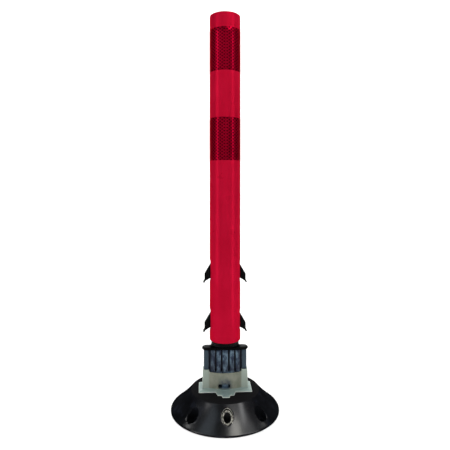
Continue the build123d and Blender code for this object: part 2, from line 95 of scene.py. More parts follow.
# slots, barbs and springs: heights are the upper level's, and LEVELS says how far below it each level is
SLOT_WIDTH = 17.0 * MM
SLOT_BOTTOM = 231.8 * MM
SLOT_TOP = 271.0 * MM
SLOT_CORNER = 5.0 * MM
LEVEL_SPACING = 89.2 * MM
LEVELS = {"upper": 0.0, "lower": LEVEL_SPACING}
SIDES = {"left": -1, "right": 1}
CORE_SLOT_HALF_WIDTH = 5.7 * MM
CORE_SLOT_BOTTOM = 222.0 * MM
CORE_SLOT_TOP = 286.0 * MM
BARB_THICKNESS = 10.0 * MM
PIVOT_REACH = 18.0 * MM
PIVOT_HEIGHT = 276.0 * MM
PIVOT_HOLE_RADIUS = 2.05 * MM
SPRING_SEAT_RADIUS = 4.7 * MM
SPRING_SEAT_DEPTH = 2.0 * MM
SPRING_HEIGHT = 250.0 * MM
SPRING_HALF_LENGTH = 13.2 * MM
SPRING_HALF_TURNS = 4.5
SPRING_COIL_RADIUS = 3.8 * MM
SPRING_WIRE_RADIUS = 0.6 * MM

# finish
RED_GLOSS = (1.0, 0.05, 0.08, 1.0)
SHEETING_CELL = (7.4 * MM, 5.6 * MM)


# --- mesh helpers -------------------------------------------------------------------------------


def make_object(name, bm, sharp_angle=SHARP_ANGLE):
    """Turn a bmesh into a smooth-shaded object whose sharp edges stay sharp."""
    bmesh.ops.remove_doubles(bm, verts=bm.verts, dist=1e-6)
    bmesh.ops.recalc_face_normals(bm, faces=bm.faces)
    mesh = bpy.data.meshes.new(name)
    bm.to_mesh(mesh)
    bm.free()
    obj = bpy.data.objects.new(name, mesh)
    bpy.context.scene.collection.objects.link(obj)
    shade(obj, sharp_angle)
    return obj


def shade(obj, sharp_angle=SHARP_ANGLE):
    """Smooth shading with edges over sharp_angle degrees kept sharp."""
    obj.data.shade_smooth()
    obj.data.set_sharp_from_angle(angle=math.radians(sharp_angle))


def apply_modifiers(obj):
    """Make an object's modifiers part of its mesh."""
    graph = bpy.context.evaluated_depsgraph_get()
    baked = bpy.data.meshes.new_from_object(obj.evaluated_get(graph))
    obj.modifiers.clear()
    old = obj.data
    obj.data = baked
    bpy.data.meshes.remove(old)


def lathe(name, profile, segments):
    """Spin a closed outline of (radius, height) points round the Z axis."""
    bm = bmesh.new()
    verts = [bm.verts.new((r, 0, z)) for r, z in profile]
    edges = [bm.edges.new((a, b)) for a, b in zip(verts, verts[1:] + verts[:1])]
    bmesh.ops.spin(
        bm, geom=verts + edges, cent=(0, 0, 0), axis=(0, 0, 1), angle=FULL_TURN, steps=segments
    )
    return make_object(name, bm)


def rings(name, loops, sharp_angle=SHARP_ANGLE):
    """Skin a stack of loops that all have the same number of points, and close both ends."""
    bm = bmesh.new()
    rows = [[bm.verts.new(p) for p in loop] for loop in loops]
    for low, high in zip(rows, rows[1:]):
        for i in range(len(low)):
            j = (i + 1) % len(low)
            bm.faces.new((low[i], low[j], high[j], high[i]))
    bm.faces.new(rows[0])
    bm.faces.new(rows[-1])
    return make_object(name, bm, sharp_angle)


def prism(name, outline, axis, low, high):
    """Push a flat outline along X or Y. The outline's points are (other horizontal axis, z)."""
    loops = []
    for reach in (low, high):
        if axis == "x":
            loops.append([Vector((reach, a, z)) for a, z in outline])
        else:
            loops.append([Vector((a, reach, z)) for a, z in outline])
    return rings(name, loops)


def cut(obj, *cutters):
    """Boolean the cutters away from obj and delete them."""
    for cutter in cutters:
        step = obj.modifiers.new("cut", "BOOLEAN")
        step.operation = "DIFFERENCE"
        step.solver = "EXACT"
        step.object = cutter
        apply_modifiers(obj)
        bpy.data.objects.remove(cutter)


def bevel(obj, width, segments=2):
    """Round every edge that turns by more than 50 degrees."""
    step = obj.modifiers.new("bevel", "BEVEL")
    step.width = width
    step.segments = segments
    step.limit_method = "ANGLE"
    step.angle_limit = math.radians(50)
    step.use_clamp_overlap = True
    apply_modifiers(obj)
    shade(obj)


def rounded(corners):
    """A closed outline from (x, z, radius) corners, each turned by an arc of that radius."""
    points = []
    count = len(corners)
    steps = 6
    for i, (x, z, radius) in enumerate(corners):
        here = Vector((x, z))
        before = (Vector(corners[i - 1][:2]) - here).normalized()
        after = (Vector(corners[(i + 1) % count][:2]) - here).normalized()
        turn = math.pi - before.angle(after, math.pi)
        if radius == 0 or turn < 0.01:
            points.append((x, z))
            continue
        tangent = radius * math.tan(turn / 2)
        middle = here + (before + after).normalized() * radius / math.cos(turn / 2)
        start = here + before * tangent - middle
        end = here + after * tangent - middle
        for step in range(steps + 1):
            share = step / steps
            from_start = start * math.sin((1 - share) * turn)
            from_end = end * math.sin(share * turn)
            points.append(tuple(middle + (from_start + from_end) / math.sin(turn)))
    return points


def circle_outline(x, z, radius):
    """A circle as a flat outline."""
    count = 32
    angles = [FULL_TURN * i / count for i in range(count)]
    return [(x + radius * math.cos(a), z + radius * math.sin(a)) for a in angles]


def box_outline(half_width, bottom, top, corner=0):
    """An upright rectangle with rounded corners, as a flat outline."""
    return rounded(
        [
            (-half_width, bottom, corner),
            (half_width, bottom, corner),
            (half_width, top, corner),
            (-half_width, top, corner),
        ]
    )


def rod(x, y, radius, bottom, top, segments=64):
    """An upright cylinder, used only to cut holes."""
    bm = bmesh.new()
    bmesh.ops.create_cone(
        bm, cap_ends=True, segments=segments, radius1=radius, radius2=radius, depth=top - bottom
    )
    bmesh.ops.translate(bm, verts=bm.verts, vec=(x, y, (top + bottom) / 2))
    return make_object("rod_cutter", bm)


def copy_of_node(node, name):
    """A free copy of a CAD node's mesh, to be reworked as a new piece."""
    obj = bpy.data.objects.new(name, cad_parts[node].data.copy())
    obj.data.materials.clear()
    bpy.context.scene.collection.objects.link(obj)
    return obj


def cast(obj, voxel, passes):
    """Remesh evenly and soften every edge, as a poured casting has them."""
    step = obj.modifiers.new("remesh", "REMESH")
    step.mode = "VOXEL"
    step.voxel_size = voxel
    soften = obj.modifiers.new("soften", "SMOOTH")
    soften.factor = 0.5
    soften.iterations = passes
    apply_modifiers(obj)
    obj.data.shade_smooth()


def put(obj, body, slot, material, *nodes):
    """Finish a piece: material, body when one is given, and the CAD nodes it stands for, which are
    hidden. The slot argument is not used.
    """
    obj.data.materials.clear()
    obj.data.materials.append(material)
    if body:
        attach(obj, body)
    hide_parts(*nodes)


# --- materials ----------------------------------------------------------------------------------


def srgb(red, green, blue):
    """A colour given as 0-255 display values, as linear RGBA."""
    linear = []
    for value in (red, green, blue):
        share = value / 255
        linear.append(share / 12.92 if share <= 0.04045 else ((share + 0.055) / 1.055) ** 2.4)
    return (*linear, 1.0)


class Surface:
    """A Principled material being put together from procedural nodes in object space."""

    def __init__(self, name, **sockets):
        self.material = bpy.data.materials.new(name)
        self.material.use_nodes = True
        self.nodes = self.material.node_tree.nodes
        self.links = self.material.node_tree.links
        self.shader = self.nodes["Principled BSDF"]
        self.place = self.nodes.new("ShaderNodeTexCoord").outputs["Object"]
        for socket, value in sockets.items():
            self.shader.inputs[socket.replace("_", " ")].default_value = value

    def feed(self, output, socket):
        """Connect a node's output to a socket of the shader."""
        self.links.new(output, self.shader.inputs[socket])

    def stretched(self, x, y, z):
        """Object coordinates scaled by different amounts along X, Y and Z."""
        mapping = self.nodes.new("ShaderNodeMapping")
        mapping.inputs["Scale"].default_value = (x, y, z)
        self.links.new(self.place, mapping.inputs["Vector"])
        return mapping.outputs["Vector"]

    def axis(self, letter, vector=None):
        """One coordinate of a vector."""
        split = self.nodes.new("ShaderNodeSeparateXYZ")
        self.links.new(vector or self.place, split.inputs[0])
        return split.outputs[letter]

    def math(self, operation, first, second=0.0):
        """A Math node on outputs or numbers."""
        node = self.nodes.new("ShaderNodeMath")
        node.operation = operation
        for index, value in enumerate((first, second)):
            if isinstance(value, (int, float)):
                node.inputs[index].default_value = value
            else:
                self.links.new(value, node.inputs[index])
        return node.outputs[0]

    def noise(self, scale, detail, vector=None):
        """Fractal noise from 0 to 1."""
        node = self.nodes.new("ShaderNodeTexNoise")
        node.inputs["Scale"].default_value = scale
        node.inputs["Detail"].default_value = detail
        node.inputs["Roughness"].default_value = 0.55
        self.links.new(vector or self.place, node.inputs["Vector"])
        return node.outputs["Fac"]

    def span(self, value, low, high, to_low=0.0, to_high=1.0):
        """Map a value from one range to another, smoothly and clamped."""
        node = self.nodes.new("ShaderNodeMapRange")
        node.interpolation_type = "SMOOTHSTEP"
        for socket, number in (
            ("From Min", low),
            ("From Max", high),
            ("To Min", to_low),
            ("To Max", to_high),
        ):
            node.inputs[socket].default_value = number
        self.links.new(value, node.inputs["Value"])
        return node.outputs["Result"]

    def blend(self, share, first, second):
        """Mix two colours, each a tuple or an output."""
        node = self.nodes.new("ShaderNodeMix")
        node.data_type = "RGBA"
        self.links.new(share, node.inputs["Factor"])
        for socket, value in ((6, first), (7, second)):
            if isinstance(value, tuple):
                node.inputs[socket].default_value = value
            else:
                self.links.new(value, node.inputs[socket])
        return node.outputs[2]

    def bump(self, height, strength, distance, under=None):
        """A bump from a height, stacked on another one where given."""
        node = self.nodes.new("ShaderNodeBump")
        node.inputs["Strength"].default_value = strength
        node.inputs["Distance"].default_value = distance
        self.links.new(height, node.inputs["Height"])
        if under:
            self.links.new(under, node.inputs["Normal"])
        return node.outputs["Normal"]


def red_plastic():
    """Extruded red tube with a red-tinted satin gloss, faint draw lines, fine grain and a few scuffs."""
    s = Surface("red_plastic", Metallic=0.2, Specular_IOR_Level=0.0, Specular_Tint=RED_GLOSS)
    patches = s.noise(14, 4)
    scuffs = s.span(s.noise(60, 6, s.stretched(1, 1, 0.25)), 0.68, 0.82)
    colour = s.blend(s.span(patches, 0.35, 0.7), srgb(176, 13, 43), srgb(185, 16, 48))
    colour = s.blend(s.math("MULTIPLY", scuffs, 0.2), colour, srgb(196, 40, 66))
    s.feed(colour, "Base Color")
    s.feed(s.span(s.noise(35, 5), 0.3, 0.75, 0.27, 0.33), "Roughness")
    lines = s.bump(s.noise(420, 2, s.stretched(1, 1, 0.012)), 0.06, 0.0003)
    s.feed(s.bump(s.noise(2200, 2), 0.05, 0.0002, lines), "Normal")
    return s.material


def reflective_sheeting():
    """Dark-red prismatic sheeting: staggered rows of darker cells under a smooth red face."""
    s = Surface("reflective_sheeting", Metallic=0.55, Specular_IOR_Level=0.0, Specular_Tint=RED_GLOSS)
    around = s.math("MULTIPLY", s.math("ARCTAN2", s.axis("X"), s.axis("Y")), TUBE_RADIUS)
    across = s.math("MULTIPLY", around, math.pi / SHEETING_CELL[0])
    along = s.math("MULTIPLY", s.axis("Z"), math.pi / SHEETING_CELL[1])
    waves = [s.math("COSINE", s.math(way, across, along)) for way in ("ADD", "SUBTRACT")]
    cell = s.math("ABSOLUTE", s.math("MULTIPLY", waves[0], waves[1]))
    body = s.blend(s.span(s.noise(24, 3), 0.3, 0.7), srgb(138, 3, 30), srgb(154, 5, 36))
    s.feed(s.blend(s.span(cell, 0.35, 0.6), body, srgb(62, 0, 12)), "Base Color")
    s.feed(s.span(s.noise(80, 3), 0.3, 0.7, 0.21, 0.25), "Roughness")
    s.feed(s.bump(cell, 0.12, 0.0004), "Normal")
    return s.material


def base_gloss():
    """Black moulding: matt flat top, polished flare with a grey film, slight orange peel and dust."""
    s = Surface("base_gloss", Coat_Roughness=0.2, Specular_IOR_Level=0.0)
    side = s.span(s.axis("Z"), BASE_TOP - 1.4 * MM, BASE_TOP - 0.4 * MM, 1.0, 0.0)
    tone = s.blend(s.span(s.noise(30, 5), 0.35, 0.75), srgb(9, 10, 12), srgb(18, 19, 22))
    film = s.math("MULTIPLY", s.span(s.noise(55, 3), 0.5, 0.7), 0.2)
    tone = s.blend(side, srgb(23, 23, 24), s.blend(film, tone, srgb(40, 44, 56)))
    dust = s.span(s.noise(900, 4), 0.62, 0.8)
    s.feed(s.blend(s.math("MULTIPLY", dust, 0.2), tone, srgb(60, 64, 74)), "Base Color")
    s.feed(s.span(s.noise(45, 5), 0.3, 0.75, 0.38, 0.5), "Roughness")
    layer = s.nodes.new("ShaderNodeLayerWeight")
    sheen = s.span(layer.outputs["Facing"], 0.15, 0.36, 1.0, 0.0)
    geometry = s.nodes.new("ShaderNodeNewGeometry")
    sloping = s.span(s.axis("Z", geometry.outputs["True Normal"]), 0.3, 0.5)
    s.feed(s.math("MULTIPLY", sheen, s.math("MULTIPLY", side, sloping)), "Coat Weight")
    peel = s.bump(s.noise(190, 3), 0.12, 0.0006)
    s.feed(s.bump(s.noise(1300, 2), 0.06, 0.0002, peel), "Normal")
    return s.material


def black_plastic():
    """Satin black moulding with a fine eroded grain and worn, slightly greyer high spots."""
    s = Surface("black_plastic", Specular_IOR_Level=0.05)
    worn = s.span(s.noise(70, 5), 0.55, 0.8)
    s.feed(s.blend(worn, srgb(6, 6, 7), srgb(18, 19, 20)), "Base Color")
    s.feed(s.span(s.noise(110, 4), 0.3, 0.7, 0.4, 0.55), "Roughness")
    s.feed(s.bump(s.noise(1600, 3), 0.22, 0.0002), "Normal")
    return s.material


def root_urethane():
    """Grey-beige translucent urethane: paler at its ends, foot and rim, cloudy, with a painted shadow
    over the nut.
    """
    s = Surface(
        "root_urethane",
        Specular_IOR_Level=0.25,
        Subsurface_Weight=0.25,
        Subsurface_Radius=(0.006, 0.006, 0.005),
        Subsurface_Scale=0.5,
    )
    across = s.math("ABSOLUTE", s.axis("X"))
    up = s.axis("Z")
    cloud = s.span(s.noise(55, 5), 0.3, 0.72)
    body = s.blend(cloud, srgb(116, 120, 106), srgb(140, 142, 128))
    # painted shadow: darker and bluer over and above the nut, broken up by noise
    above_nut = s.span(up, 46 * MM, 66 * MM, 1.0, 0.0)
    shadow = s.math("MULTIPLY", s.span(across, 5 * MM, 15 * MM, 1.0, 0.0), above_nut)
    shadow = s.math("MULTIPLY", shadow, s.span(s.noise(170, 4), 0.38, 0.6, 0.45, 1.0))
    body = s.blend(shadow, body, srgb(48, 62, 80))
    ends = s.span(across, 27 * MM, 31 * MM)
    body = s.blend(s.math("MULTIPLY", ends, 0.85), body, srgb(160, 172, 162))
    foot = s.span(up, 39.5 * MM, 41.5 * MM, 1.0, 0.0)
    body = s.blend(s.math("MULTIPLY", foot, 0.85), body, srgb(127, 145, 141))
    rim = s.span(up, ROOT_LOW.z + 1.1 * MM, ROOT_LOW.z + 1.5 * MM, 1.0, 0.0)
    body = s.blend(rim, body, srgb(196, 204, 196))
    s.feed(body, "Base Color")
    s.feed(s.span(s.noise(120, 4), 0.3, 0.7, 0.32, 0.48), "Roughness")
    s.feed(s.bump(s.noise(260, 4), 0.15, 0.0004), "Normal")
    return s.material


def ribbed_urethane():
    """Slate-blue translucent urethane with darker clouds, darker towards the bottom, and painted shade
    nearly black at the bottom of its grooves.
    """
    s = Surface(
        "ribbed_urethane",
        Specular_IOR_Level=0.25,
        Subsurface_Weight=0.15,
        Subsurface_Radius=(0.004, 0.005, 0.006),
        Subsurface_Scale=0.4,
    )
    across = s.math("ABSOLUTE", s.axis("X"))
    deep = s.math("ABSOLUTE", s.axis("Y"))
    cloud = s.span(s.noise(130, 5, s.stretched(1, 1, 0.6)), 0.42, 0.62)
    body = s.blend(cloud, srgb(24, 40, 62), srgb(102, 124, 140))
    # darker and cloudier towards the bottom of the block
    lower = s.span(s.axis("Z"), 74 * MM, 108 * MM, 1.0, 0.0)
    lower_darkening = s.math("MULTIPLY", lower, s.span(s.noise(90, 4), 0.35, 0.6, 0.25, 0.9))
    body = s.blend(lower_darkening, body, srgb(14, 22, 40))
    ends = s.span(across, 30 * MM, 31 * MM)
    body = s.blend(ends, body, srgb(44, 60, 72))
    # painted shade: nearly black at the bottom of the grooves, except at the ends
    floor = s.math("MULTIPLY", s.span(deep, 6.2 * MM, 9.2 * MM, 1.0, 0.0), s.math("SUBTRACT", 1.0, ends))
    body = s.blend(floor, body, srgb(5, 12, 30))
    s.feed(body, "Base Color")
    s.feed(s.span(s.noise(120, 4), 0.3, 0.7, 0.32, 0.46), "Roughness")
    s.feed(s.bump(s.noise(300, 4), 0.2, 0.0004), "Normal")
    return s.material


def steel(name, tone, roughness):
    """Plated steel with a faint mottle."""
    s = Surface(name, Metallic=1.0)
    s.feed(s.blend(s.noise(160, 4), tone, tuple(c * 0.7 for c in tone[:3]) + (1.0,)), "Base Color")
    s.feed(s.span(s.noise(240, 4), 0.3, 0.7, roughness - 0.06, roughness + 0.1), "Roughness")
    s.feed(s.bump(s.noise(900, 3), 0.1, 0.0001), "Normal")
    return s.material


def galvanised():
    """Galvanised lips of the sleeves. The upright walls between and inside them carry painted shade:
    near-black, not metal.
    """
    s = Surface("galvanised_sleeve", Specular_IOR_Level=0.1)
    geometry = s.nodes.new("ShaderNodeNewGeometry")
    lip = s.span(s.axis("Z", geometry.outputs["True Normal"]), 0.2, 0.5)
    zinc = s.blend(s.span(s.noise(320, 4), 0.36, 0.62), srgb(92, 90, 84), srgb(186, 184, 174))
    # painted shade: sideways-facing walls in the groove and bore are near-black, the upward-facing lips
    # are zinc
    s.feed(s.blend(lip, srgb(5, 5, 6), zinc), "Base Color")
    s.feed(lip, "Metallic")
    s.feed(s.span(s.noise(240, 4), 0.3, 0.7, 0.28, 0.42), "Roughness")
    s.feed(s.bump(s.noise(900, 3), 0.1, 0.0001), "Normal")
    return s.material


def floor_paint():
    """Plain pale studio floor."""
    s = Surface("floor_paint", Roughness=0.7, Specular_IOR_Level=0.2)
    s.feed(s.blend(s.noise(3, 2), srgb(246, 246, 246), srgb(250, 250, 250)), "Base Color")
    return s.material


# --- pieces -------------------------------------------------------------------------------------


def stack_heights(low, high, step):
    """Evenly spaced heights from low to high, about step apart."""
    count = max(1, round((high - low) / step))
    return [low + (high - low) * i / count for i in range(count + 1)]


def post_tube(material):
    """The red tube, with its lower end rounded in and two levels of round-ended slots."""
    bore = TUBE_RADIUS - TUBE_WALL
    low, high = TUBE_LOW.z, TUBE_HIGH.z
    heights = stack_heights(low + 4 * MM, high - 1 * MM, RING_SPACING)
    outer = [(TUBE_RADIUS, z) for z in heights]
    inner = [(bore, z) for z in reversed(heights)]
    foot_top = low + 6 * MM
    foot_outline = rounded(
        [
            (bore, low, 0.5 * MM),
            (TUBE_RADIUS, low, 2.2 * MM),
            (TUBE_RADIUS, foot_top, 0),
            (bore, foot_top, 0),
        ]
    )
    foot = [(radius, z) for radius, z in foot_outline if z < (low + foot_top) / 2]
    profile = foot + outer + [(TUBE_RADIUS, high), (bore, high)] + inner
    tube = lathe("tube_shell", profile, TUBE_SEGMENTS)
    for drop in LEVELS.values():
        outline = box_outline(SLOT_WIDTH / 2, SLOT_BOTTOM - drop, SLOT_TOP - drop, SLOT_CORNER)
        cut(tube, prism("slot_cutter", outline, "x", -2 * TUBE_RADIUS, 2 * TUBE_RADIUS))
    bevel(tube, 0.5 * MM)
    put(tube, "post", "red_plastic", material, "post_tube")


def post_cap(material):
    """The flush cap: a disc sunk a little inside its rim, and a hollow plug that pushes into the tube."""
    plug_gap = 0.05 * MM
    plug_wall = 2.5 * MM
    plug = TUBE_RADIUS - TUBE_WALL - plug_gap
    hollow = plug - plug_wall
    low, high, seat = CAP_LOW.z, CAP_HIGH.z, TUBE_HIGH.z
    underside = seat + 0.01 * MM
    disc_top = high - 0.35 * MM
    corners = [
        (0, seat, 0),
        (hollow, seat, 1 * MM),
        (hollow, low, 0.5 * MM),
        (plug, low, 0.8 * MM),
        (plug, underside, 0),
        (TUBE_RADIUS, underside, 0.15 * MM),
        (TUBE_RADIUS, high, 0.7 * MM),
        (TUBE_RADIUS - 2.4 * MM, high, 0.5 * MM),
        (TUBE_RADIUS - 3.0 * MM, disc_top, 0.5 * MM),
        (TUBE_RADIUS - 9 * MM, disc_top, 0),
        (0, disc_top, 0),
    ]
    cap = lathe("cap_disc", rounded(corners), TUBE_SEGMENTS)
    put(cap, "post", "red_plastic", material, "post_cap")


def reflective_band(node, material):
    """One wrap of sheeting, its two ends overlapping in a thin step at the back."""
    low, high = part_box(node)
    skin = 0.38 * MM
    single_layer = 0.55
    lap = 6 * MM / TUBE_RADIUS
    edge = 0.3 * MM
    tuck = 0.125 * MM
    count = 180
    levels = [
        (low.z, 0, 0),
        (low.z, skin, tuck),
        (low.z + edge, skin, 0),
        *((z, skin, 0) for z in stack_heights(low.z + 8 * MM, high.z - 8 * MM, RING_SPACING)),
        (high.z - edge, skin, 0),
        (high.z, skin, tuck),
        (high.z, 0, 0),
    ]
    bm = bmesh.new()
    rows = []
    for z, thickness, inwards in levels:
        row = []
        for i in range(count):
            turn = FULL_TURN * i / count
            layers = 1.0 if turn < lap else single_layer
            radius = TUBE_RADIUS + thickness * layers - inwards
            a = math.pi / 2 + turn
            row.append(bm.verts.new((radius * math.cos(a), radius * math.sin(a), z)))
        rows.append(row)
    for below, above in zip(rows, rows[1:] + rows[:1]):
        for i in range(count):
            j = (i + 1) % count
            bm.faces.new((below[i], below[j], above[j], above[i]))
    band = make_object(f"{node}_wrap", bm)
    put(band, "post", "reflective_red", material, node)


def ellipse(half_width, half_depth, z):
    """An elliptical loop."""
    angles = [FULL_TURN * i / LOOP_POINTS for i in range(LOOP_POINTS)]
    return [Vector((half_width * math.cos(a), half_depth * math.sin(a), z)) for a in angles]


def stadium(half_width, half_depth, z):
    """A loop with nearly straight sides and nearly half-round ends."""
    straight = half_width - half_depth
    squareness = 6
    loop = []
    for i in range(LOOP_POINTS):
        a = FULL_TURN * i / LOOP_POINTS
        shift = straight * math.tanh(squareness * math.cos(a)) / math.tanh(squareness)
        loop.append(Vector((shift + half_depth * math.cos(a), half_depth * math.sin(a), z)))
    return loop


def collar(material):
    """The thin oval plate, its rim rolled to a full round."""
    low, high = COLLAR_LOW.z, COLLAR_HIGH.z
    half = (high - low) / 2
    middle = (high + low) / 2
    loops = []
    steps = 10
    for i in range(steps + 1):
        a = math.pi * i / steps - math.pi / 2
        tuck = half * (1 - math.cos(a))
        loops.append(stadium(COLLAR_HIGH.x - tuck, COLLAR_HIGH.y - tuck, middle + half * math.sin(a)))
    plate = rings("collar_plate", loops, 60)
    put(plate, "post", "black_plastic", material, "collar")


def core(material):
    """The neck, swept from the collar's oval up to a round shank that fills the tube's bore."""
    foot = CORE_LOW.z
    flare_top = foot + 6.0 * MM
    flare_half_width = CORE_HIGH.x
    flare_half_depth = COLLAR_HIGH.y
    quick_narrowing = 2.2
    top_chamfer = 2 * MM
    loops = []
    steps = 12
    for i in range(steps + 1):
        share = i / steps
        ease = 1 - (1 - share) ** quick_narrowing
        width = flare_half_width + (CORE_RADIUS - flare_half_width) * ease
        depth = flare_half_depth + (CORE_RADIUS - flare_half_depth) * share
        loops.append(ellipse(width, depth, foot + (flare_top - foot) * share))
    for z in stack_heights(flare_top + 2 * MM, CORE_HIGH.z - top_chamfer, RING_SPACING):
        loops.append(ellipse(CORE_RADIUS, CORE_RADIUS, z))
    loops.append(ellipse(CORE_RADIUS - top_chamfer, CORE_RADIUS - top_chamfer, CORE_HIGH.z))
    shank = rings("core_shank", loops, 40)
    for drop in LEVELS.values():
        outline = box_outline(CORE_SLOT_HALF_WIDTH, CORE_SLOT_BOTTOM - drop, CORE_SLOT_TOP - drop)
        cut(shank, prism("core_slot_cutter", outline, "x", -2 * CORE_RADIUS, 2 * CORE_RADIUS))
    cut(shank, rod(0, 0, CORE_BORE_RADIUS, CORE_FLOOR_TOP, CORE_HIGH.z + CORE_BORE_RADIUS))
    bevel(shank, 0.4 * MM)
    put(shank, "post", "black_plastic", material, "barb_core")


def barb(level, side, material):
    """A harpoon barb: ramp on top, blunt nose, thin hooked tail, and a toe kept inside the tube."""
    drop = LEVELS[level]
    sign = SIDES[side]
    boss = 5.0 * MM
    boss_corner = boss * 0.99
    inner = 12.0 * MM
    corners = [
        (inner, 226.0 * MM, 1.0 * MM),
        (23.4 * MM, 226.0 * MM, 1.0 * MM),
        (24.0 * MM, 236.6 * MM, 0.4 * MM),
        (27.0 * MM, 237.7 * MM, 1.5 * MM),
        (35.6 * MM, 232.5 * MM, 1.5 * MM),
        (37.9 * MM, 228.7 * MM, 0.9 * MM),
        (40.2 * MM, 229.9 * MM, 0.9 * MM),
        (37.4 * MM, 234.6 * MM, 2.5 * MM),
        (37.4 * MM, 245.2 * MM, 3.5 * MM),
        (27.9 * MM, 261.2 * MM, 6.0 * MM),
        (PIVOT_REACH + boss, 270.0 * MM, 3.0 * MM),
        (PIVOT_REACH + boss, PIVOT_HEIGHT + boss, boss_corner),
        (PIVOT_REACH - boss, PIVOT_HEIGHT + boss, boss_corner),
        (inner, 266.0 * MM, 3.0 * MM),
    ]
    outline = [(sign * x, z - drop) for x, z in rounded(corners)]
    half = BARB_THICKNESS / 2
    fin = prism(f"{level}_{side}_fin", outline, "y", -half, half)
    pivot = circle_outline(sign * PIVOT_REACH, PIVOT_HEIGHT - drop, PIVOT_HOLE_RADIUS)
    cut(fin, prism("pivot_cutter", pivot, "y", -2 * half, 2 * half))
    bevel(fin, 0.55 * MM, 3)
    seat = circle_outline(0, SPRING_HEIGHT - drop, SPRING_SEAT_RADIUS)
    reach = sorted((sign * inner / 2, sign * (inner + SPRING_SEAT_DEPTH)))
    cut(fin, prism("seat_cutter", seat, "x", *reach))
    shade(fin)
    put(fin, f"{level}_{side}_barb", "black_plastic", material, f"{level}_barb_{side}")


def spring_half(level, side, material):
    """The half of a barb spring on one side."""
    sign = SIDES[side]
    height = SPRING_HEIGHT - LEVELS[level]
    end = FULL_TURN * SPRING_HALF_TURNS
    steps = 108
    sides = 8
    wire = [FULL_TURN * i / sides for i in range(sides)]
    loops = []
    for i in range(steps + 1):
        turn = sign * end * i / steps
        outward = Vector((0, math.cos(turn), math.sin(turn)))
        round_coil = Vector((0, -math.sin(turn), math.cos(turn))) * SPRING_COIL_RADIUS
        along = (round_coil + Vector((SPRING_HALF_LENGTH / end, 0, 0))).normalized()
        middle = Vector((SPRING_HALF_LENGTH * turn / end, 0, height)) + outward * SPRING_COIL_RADIUS
        beside = along.cross(outward)
        loops.append(
            [middle + (outward * math.cos(a) + beside * math.sin(a)) * SPRING_WIRE_RADIUS for a in wire]
        )
    coil = rings(f"{level}_{side}_spring", loops, 60)
    put(coil, None, "spring_steel", material, f"{level}_barb_spring")
    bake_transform(coil)


def circle_through(a, b, c):
    """Centre and radius of the circle through three points of a plane."""
    ax, az = a
    bx, bz = b
    cx, cz = c
    d = 2 * (ax * (bz - cz) + bx * (cz - az) + cx * (az - bz))
    a2, b2, c2 = ax * ax + az * az, bx * bx + bz * bz, cx * cx + cz * cz
    x = (a2 * (bz - cz) + b2 * (cz - az) + c2 * (az - bz)) / d
    z = (a2 * (cx - bx) + b2 * (ax - cx) + c2 * (bx - ax)) / d
    return x, z, math.hypot(ax - x, az - z)


FLARE_X, FLARE_Z, FLARE_R = circle_through(
    (BASE_RADIUS, BASE_EDGE),
    ((BASE_RADIUS + BASE_TOP_RADIUS) / 2 - FLARE_SAG, (BASE_EDGE + BASE_TOP) / 2 - FLARE_SAG),
    (BASE_TOP_RADIUS, BASE_TOP),
)


def flare_height(radius):
    """Height of the base's hollow-curved side at a distance from the axis."""
    return FLARE_Z - math.sqrt(FLARE_R**2 - (radius - FLARE_X) ** 2)


def base(material):
    """The flared base with its sleeve holes, corner pockets and the recess in its underside."""
    steps = 14
    flare = []
    for i in range(1, steps):
        radius = BASE_RADIUS + (BASE_TOP_RADIUS - BASE_RADIUS) * i / steps
        flare.append((radius, flare_height(radius), 0))
    corners = [
        (CENTRE_HOLE_RADIUS, PLATE_HIGH.z, 0),
        (PLATE_HIGH.x, PLATE_HIGH.z, 0),
        (PLATE_HIGH.x, BASE_LOW.z, 0.5 * MM),
        (BASE_RADIUS, BASE_LOW.z, 0.5 * MM),
        (BASE_RADIUS, BASE_EDGE, 2.2 * MM),
        *flare,
        (BASE_TOP_RADIUS, BASE_TOP, 1.6 * MM),
        (CENTRE_HOLE_RADIUS, BASE_TOP, 0.4 * MM),
    ]
    body = lathe("base_moulding", rounded(corners), 192)
    for x, y in SLEEVE_PLACES:
        cut(body, rod(x, y, POCKET_RADIUS, -BASE_TOP, 2 * BASE_TOP))
    # with other segment counts and heights, the boolean left a tube standing in a pocket
    for x, y in CORNER_PLACES:
        cut(body, rod(x, y, POCKET_RADIUS, POCKET_FLOOR, 2 * BASE_TOP, 62))
        cut(body, rod(x, y, BOLT_HOLE_RADIUS, -BASE_TOP, (BASE_TOP + POCKET_FLOOR) / 2, 46))
    bevel(body, 0.5 * MM)
    put(body, "base", "black_base", material, "base_flare")


